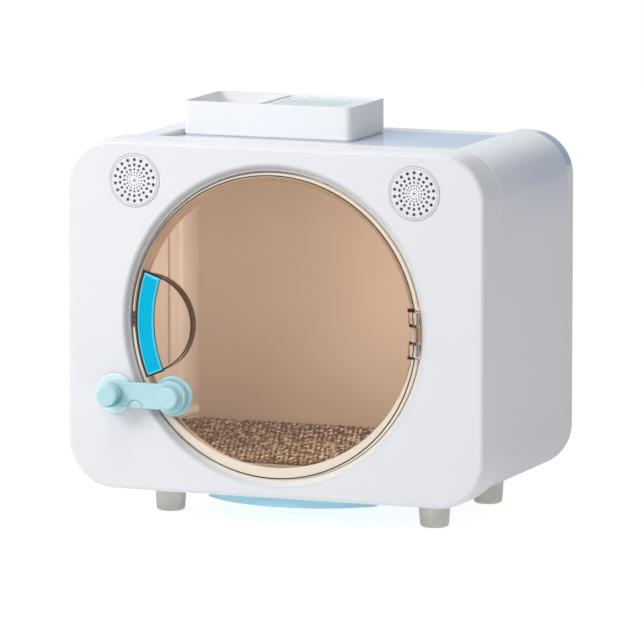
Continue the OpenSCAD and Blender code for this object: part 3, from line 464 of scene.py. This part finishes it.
def tinted_pane():
    """Clear sheet with an amber film inside its cream border, a dark line round the rim, a painted shade
    line round the finger cup, painted shade on the cup's walls, a painted shadow under the handle, and
    white behind the lock's pad."""
    material, g = new_material("tinted_pane")
    place = g.place()
    across, depth, up = on_door(g, place)
    radius = spread_from(g, across, up)
    border = g.ramp(spread_from(g, across, up, *FILM_AT, *FILM_HALF), 0.998, 1.002)
    catch = g.times(g.ramp(across, CATCH_X, CATCH_X - 2 * MM), g.fall(g.size(up), 6.2 * MM, 6.6 * MM))
    front = g.fall(depth, PANE_Y + 0.4 * MM, PANE_Y + 0.8 * MM)
    shallow = g.fall(depth, PANE_Y + 2.2 * MM, PANE_Y + 2.6 * MM)
    # dark rim line, and painted shade line round the cup
    lines = g.most(g.times(front, rim_line(g, across, up)),
                   g.times(shallow, cup_line(g, across, up, radius)))
    # painted shade on the cup's walls and painted shadow under the handle
    dark = g.most(pane_walls(g, across, up, radius), g.times(shallow, handle_shadow(g, across, up, radius)))
    dark = g.most(g.most(lines, dark), g.times(hinge_line(g, across, up), 0.8))
    pad = g.times(shallow, g.fall(spread_from(g, across, up, *PAD_AT), PAD_R - 1 * MM, PAD_R))
    cloud = g.ramp(g.noise(place, 9.0, 3.0), 0.3, 0.7)
    film = g.blend(cloud, FILM_TINT, shade(FILM_TINT, 1.03))
    through = g.blend(dark, g.blend(border, film, BORDER_TINT), DARK_TINT)
    body = g.blend(dark, g.blend(border, PANE_BODY, BORDER_BODY), DARK_BODY)
    body = g.blend(pad, body, PAD_WHITE)
    haze = g.ramp(g.minus(border, g.times(catch, 0.9)), 0.0, 1.0, FILM_HAZE, BORDER_HAZE)
    haze = g.plus(haze, g.times(g.add("Fresnel", {"IOR": 1.35}).outputs[0], 0.5))
    share = g.most(g.most(haze, pad), g.times(dark, 0.95))
    see_through(g, place, through, body, share, shine=0.12)
    return material


def clear_moulding():
    """Clear moulding of the hinge, a little cloudy."""
    material, g = new_material("clear_moulding")
    place = g.place()
    across, _, up = on_door(g, place)
    cloud = g.ramp(g.noise(place, 180.0, 3.0), 0.3, 0.7, 0.42, 0.54)
    line = hinge_line(g, across, up)
    body = g.blend(line, HINGE_BODY, HINGE_DARK)
    see_through(g, place, HINGE_TINT, body, g.most(cloud, g.times(line, 0.85)), shine=0.3)
    return material


def woven_mat():
    """Coarse matting: dark and pale flecks along the weave, painted shade in the valleys, frayed on the
    crowns.
    """
    material, g = new_material("mesh_mat")
    place = g.place()
    across, depth, height = g.split(place)
    sway = g.times(g.minus(g.noise(place, 70.0, 1.0), 0.5), 9.0)
    row = g.math("SINE", g.plus(g.times(across, 2 * math.pi / FLECK_X), sway))
    line = g.math("SINE", g.minus(g.times(depth, 2 * math.pi / FLECK_Y), sway))
    weave = g.add("Mapping", {"Vector": place, "Scale": (300.0, 125.0, 300.0)}).outputs[0]
    fleck = g.math("MULTIPLY_ADD", g.times(row, line), 0.13, g.noise(weave, 1.0, 1.0, 0.5))
    tone = g.blend(g.ramp(fleck, 0.40, 0.54), MAT_DARK, MAT_BROWN)
    tone = g.blend(g.ramp(fleck, 0.54, 0.66), tone, MAT_PALE)
    crown = g.ramp(height, mat_low.z + 0.3 * MM, mat_high.z - 0.3 * MM)
    # painted shade in the valleys between the crowns
    tone = g.blend(crown, MAT_VALLEY_SHADE, tone)
    fibre = g.noise(place, 2400.0, 3.0)
    tone = g.blend(g.ramp(fibre, 0.45, 0.75, 0.0, 0.25), tone, MAT_FIBRE)
    body = g.add("BsdfPrincipled", {
        "Base Color": tone, "Roughness": 0.9, "Normal": g.bump(fibre, 0.4, 0.0004),
        "Specular IOR Level": 0.25,
    })
    g.surface(body.outputs[0])
    return material


# Finish of each material slot
finish = {
    "white_moulding": white("white_moulding"),
    "pale_moulding": moulded("pale_moulding", (0.66, 0.70, 0.75), rough=0.45),
    "tinted_pane": tinted_pane(),
    "clear_moulding": clear_moulding(),
    "blue_handle": moulded("blue_handle", HANDLE_BLUE, rough=0.4, specular=0.06, tone=handle_tone),
    "steel": plated("steel", (0.60, 0.61, 0.63)),
    "magnet": plated("magnet", (0.10, 0.10, 0.105), rough=0.4),
    "seal_rubber": rubbery("seal_rubber", (0.47, 0.48, 0.48)),
    "adhesive_pad": rubbery("adhesive_pad", PAD_WHITE),
    "lock_plastic": lock_plastic("lock_plastic", LOCK_BLUE, lock_tone),
    "tray_plastic": moulded("tray_plastic", (0.40, 0.72, 0.84), rough=0.35, specular=0.2),
    "foot_rubber": rubbery("foot_rubber", (0.76, 0.76, 0.67)),
    "heater_aluminium": plated("heater_aluminium", (0.74, 0.75, 0.77), rough=0.38),
    "dark_plastic": moulded("dark_plastic", (0.035, 0.035, 0.04), rough=0.45, spread=0.2),
    "mesh_mat": woven_mat(),
}
# Pieces whose finish differs a little from the rest of their kind
special = {
    "front_panel": white("white_panel", tone=panel_tone),
    "main_shell": white("white_shell", tone=shell_tone, polish=on_deck),
    "rear_cover": white("white_cover", tone=cover_tone),
    "roof_tray": white("white_tray", (0.88, 0.885, 0.895)),
    "roof_tray_plate": moulded("tray_plate", (0.80, 0.86, 0.90), rough=0.45),
    "lock_panel_base": lock_plastic("lock_base", LOCK_PALE, lock_tone),
    "lock_strap_button": lock_plastic("lock_button", LOCK_BLUE, button_tone),
    "hinge_pin": plated("hinge_pin", (0.16, 0.12, 0.10), rough=0.5),
    "catch_plate": plated("catch_plate", CATCH_GREY, rough=0.5, tone=hatch_tone),
}
for subpart in frame["record"]["subparts"]:
    slots = nodes[subpart["node"]].data.materials
    slots.clear()
    slots.append(special.get(subpart["node"], finish[subpart["material_slot"]]))


# Added pieces

def new_mesh(name, verts, faces, smooth):
    mesh = bpy.data.meshes.new(name)
    mesh.from_pydata(verts, [], faces)
    mesh.update()
    for polygon in mesh.polygons:
        polygon.use_smooth = smooth
    return mesh


def add_object(name, data):
    holder = bpy.data.objects.new(name, data)
    bpy.context.scene.collection.objects.link(holder)
    return holder


def add_piece(mesh, material, body):
    piece = add_object(mesh.name, mesh)
    mesh.materials.append(material)
    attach(piece, body)
    return piece


STRAND_PITCH, STRAND_WAVE = 6.4 * MM, 0.65 * MM
STRAND_HALF_WIDE, STRAND_HALF_THICK, STRAND_SIDES = 2.0 * MM, 0.7 * MM, 6
MAT_CORNER, MAT_MARGIN = 17 * MM, 1 * MM


def strand(points, verts, faces):
    """Adds a closed flat strand along points, each a place and a level direction across it."""
    first, rings, sides = len(verts), len(points), STRAND_SIDES
    for middle, across in points:
        for k in range(sides):
            turn = 2 * math.pi * (k + 0.5) / sides
            rise = Vector((0, 0, STRAND_HALF_THICK * math.sin(turn)))
            verts.append(middle + across * (STRAND_HALF_WIDE * math.cos(turn)) + rise)
    for i in range(rings - 1):
        for k in range(sides):
            a, b = first + i * sides + k, first + i * sides + (k + 1) % sides
            faces.append((a, b, b + sides, a + sides))
    faces.append(tuple(first + k for k in reversed(range(sides))))
    faces.append(tuple(first + (rings - 1) * sides + k for k in range(sides)))


def woven_mesh():
    """Over-and-under strands cut to the mat's rounded plan."""
    middle = (mat_low + mat_high) / 2
    half_x, half_y = (mat_high.x - mat_low.x) / 2, (mat_high.y - mat_low.y) / 2
    step = STRAND_PITCH / 2
    verts, faces = [], []

    def reach(off, half_off, half_run):
        """Half the length of the strand that lies off from the middle."""
        past = abs(off) - (half_off - MAT_CORNER)
        if past <= 0:
            return half_run
        return half_run - MAT_CORNER + math.sqrt(max(0.0, MAT_CORNER ** 2 - past ** 2))

    for runs_x in (False, True):
        half_off, half_run = (half_y, half_x) if runs_x else (half_x, half_y)
        across = Vector((0, 1, 0)) if runs_x else Vector((1, 0, 0))
        count = int((half_off - 2 * MAT_MARGIN) / STRAND_PITCH)
        for i in range(-count, count + 1):
            off = i * STRAND_PITCH
            steps = int(reach(off, half_off - MAT_MARGIN, half_run - MAT_MARGIN) / step)
            points = []
            for j in range(-steps, steps + 1):
                along = j * step
                lift = STRAND_WAVE * math.cos(math.pi * (j / 2 + i + (1 if runs_x else 0)))
                flat = (along, off) if runs_x else (off, along)
                points.append((middle + Vector((*flat, lift)), across))
            if len(points) > 2:
                strand(points, verts, faces)
    return new_mesh("woven_mat", verts, faces, smooth=True)


# Blocks of painted shade in the hinge notches, in mm: reach in from the pin, then lower and upper
# end from the door's middle
NOTCH_SHADE_ROWS = ((7.0, 17.7, 20.3), (5.6, 5.75, 8.3))
NOTCH_SHADE_OFF_PIN = 1.9 * MM
NOTCH_SHADE_FRONT, NOTCH_SHADE_BACK = PANE_Y - 0.15 * MM, PANE_Y + 2.9 * MM
BLOCK_QUADS = ((0, 1, 3, 2), (4, 6, 7, 5), (0, 4, 5, 1), (2, 3, 7, 6), (0, 2, 6, 4), (1, 5, 7, 3))


def notch_shade_mesh():
    """Dark blocks of painted shade in the pane's four hinge notches."""
    verts, faces = [], []
    for inner, low, high in NOTCH_SHADE_ROWS:
        for side in (-1, 1):
            first = len(verts)
            ends = sorted((DOOR_Z + side * low * MM, DOOR_Z + side * high * MM))
            for x in (PIN_X - inner * MM, PIN_X - NOTCH_SHADE_OFF_PIN):
                for y in (NOTCH_SHADE_FRONT, NOTCH_SHADE_BACK):
                    verts.extend((x, y, z) for z in ends)
            faces.extend(tuple(first + k for k in quad) for quad in BLOCK_QUADS)
    return new_mesh("hinge_notch_shade", verts, faces, smooth=False)


mat_piece = add_piece(woven_mesh(), finish["mesh_mat"], "cabin")
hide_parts("floor_mat")
# dark brown of the painted shade blocks in the hinge notches
notch_shade_brown = moulded("notch_shade_brown", (0.045, 0.022, 0.014), rough=0.6, spread=0.1, specular=0.1)
add_piece(notch_shade_mesh(), notch_shade_brown, "door")


# Studio: pale floor, soft lamps and the photograph's camera

PLAIN_WHITE = (1.0, 1.0, 1.0)
WARM = (1.0, 0.96, 0.92)
WORLD_COLOUR, WORLD_LIGHT = (0.95, 0.97, 1.0), 0.41
SHEEN_LOW, SHEEN_HIGH = (0.50, 0.62, 0.80), (0.95, 0.97, 1.0)
FLOOR_PALE, FLOOR_SEEN = (0.88, 0.88, 0.89), (0.52, 0.505, 0.49)
FLOOR_GLOW, FLOOR_BOUNCE = 0.80, 0.27
FLOOR_HALF = 40.0


def seen_directly(g, path):
    return g.most(path.outputs["Is Camera Ray"], path.outputs["Is Transmission Ray"])


def room():
    """Even pale room: white to the camera, a little blue low down in reflections."""
    world = bpy.data.worlds.new("studio")
    bpy.context.scene.world = world
    g = Graph(world)
    path = g.add("LightPath")
    seen, glossy = seen_directly(g, path), path.outputs["Is Glossy Ray"]
    rise = g.split(g.add("TexCoord").outputs["Generated"])[2]
    mirrored = g.blend(g.ramp(rise, 0.02, 0.45), SHEEN_LOW, SHEEN_HIGH)
    sky = g.blend(seen, g.blend(glossy, WORLD_COLOUR, mirrored), PLAIN_WHITE)
    strength = g.ramp(g.most(seen, glossy), 0.0, 1.0, WORLD_LIGHT, 1.0, smooth=False)
    out = g.add("OutputWorld")
    g.tree.links.new(g.add("Background", {"Color": sky, "Strength": strength}).outputs[0], out.inputs[0])


def pale_floor():
    """White floor that keeps the object's shadow, sends soft light up and is clear from below."""
    corners = [(x * FLOOR_HALF, y * FLOOR_HALF, 0) for x, y in ((-1, -1), (1, -1), (1, 1), (-1, 1))]
    mesh = new_mesh("floor", corners, [(0, 1, 2, 3)], smooth=False)
    material, g = new_material("floor")

    def glowing(colour, glow):
        base = g.add("BsdfDiffuse", {"Color": colour})
        light = g.add("Emission", {"Color": PLAIN_WHITE, "Strength": glow})
        return g.add("AddShader", {0: base.outputs[0], 1: light.outputs[0]}).outputs[0]

    seen = seen_directly(g, g.add("LightPath"))
    top = g.add("MixShader", {
        0: seen, 1: glowing(FLOOR_PALE, FLOOR_BOUNCE), 2: glowing(FLOOR_SEEN, FLOOR_GLOW),
    })
    below = g.add("BsdfTransparent")
    facing = g.add("NewGeometry").outputs["Backfacing"]
    g.surface(g.add("MixShader", {0: facing, 1: top.outputs[0], 2: below.outputs[0]}).outputs[0])
    mesh.materials.append(material)
    add_object("floor", mesh)


def lamp(name, place, aim, size, power, colour=PLAIN_WHITE, spread=180):
    """Soft lamp: a disc where size is one length, a panel where it is a width and a height."""
    light = bpy.data.lights.new(name, "AREA")
    if isinstance(size, tuple):
        light.shape = "RECTANGLE"
        light.size, light.size_y = size
    else:
        light.shape = "DISK"
        light.size = size
    light.energy = power
    light.spread = math.radians(spread)
    light.color = colour
    holder = add_object(name, light)
    holder.location = place
    holder.rotation_euler = (Vector(aim) - Vector(place)).to_track_quat("-Z", "Y").to_euler()
    holder.visible_camera = False


def camera(azimuth, elevation, distance, target, lens):
    a, e = math.radians(azimuth), math.radians(elevation)
    back = Vector((math.sin(a) * math.cos(e), -math.cos(a) * math.cos(e), math.sin(e)))
    data = bpy.data.cameras.new("camera")
    data.lens = lens
    data.sensor_width = 36.0
    data.clip_end = 100.0
    holder = add_object("camera", data)
    holder.location = Vector(target) + back * distance
    holder.rotation_euler = (-back).to_track_quat("-Z", "Y").to_euler()
    bpy.context.scene.camera = holder


room()
pale_floor()
panel_middle = (panel_low + panel_high) / 2
lamp("key", (-1.25, -1.45, 1.40), panel_middle, size=0.9, power=25)
lamp("top", (-0.3, -1.0, 2.3), panel_middle, size=1.2, power=16)
# Soft light inside the cabin: on the wall left of the doorway, and from the doorway towards the back
cabin_depth = FRONT_Y + 150 * MM
lamp("cabin_side", (150 * MM, cabin_depth, DOOR_Z), (-170 * MM, cabin_depth, DOOR_Z),
     size=(0.03, 0.20), power=0.23, colour=WARM, spread=100)
lamp("cabin_front", (20 * MM, FRONT_Y + 26 * MM, DOOR_Z - 60 * MM),
     (30 * MM, FRONT_Y + 180 * MM, DOOR_Z - 75 * MM), size=(0.20, 0.06), power=0.066, colour=WARM)
# Place and lens of the photograph's camera, fitted to the panel's corners and the door's rim
camera(azimuth=21.273, elevation=8.098, distance=6.177, lens=424.2,
       target=(2.78 * MM, FRONT_Y + 100 * MM, panel_low.z + 130.69 * MM))
bpy.context.scene.view_settings.view_transform = "Standard"
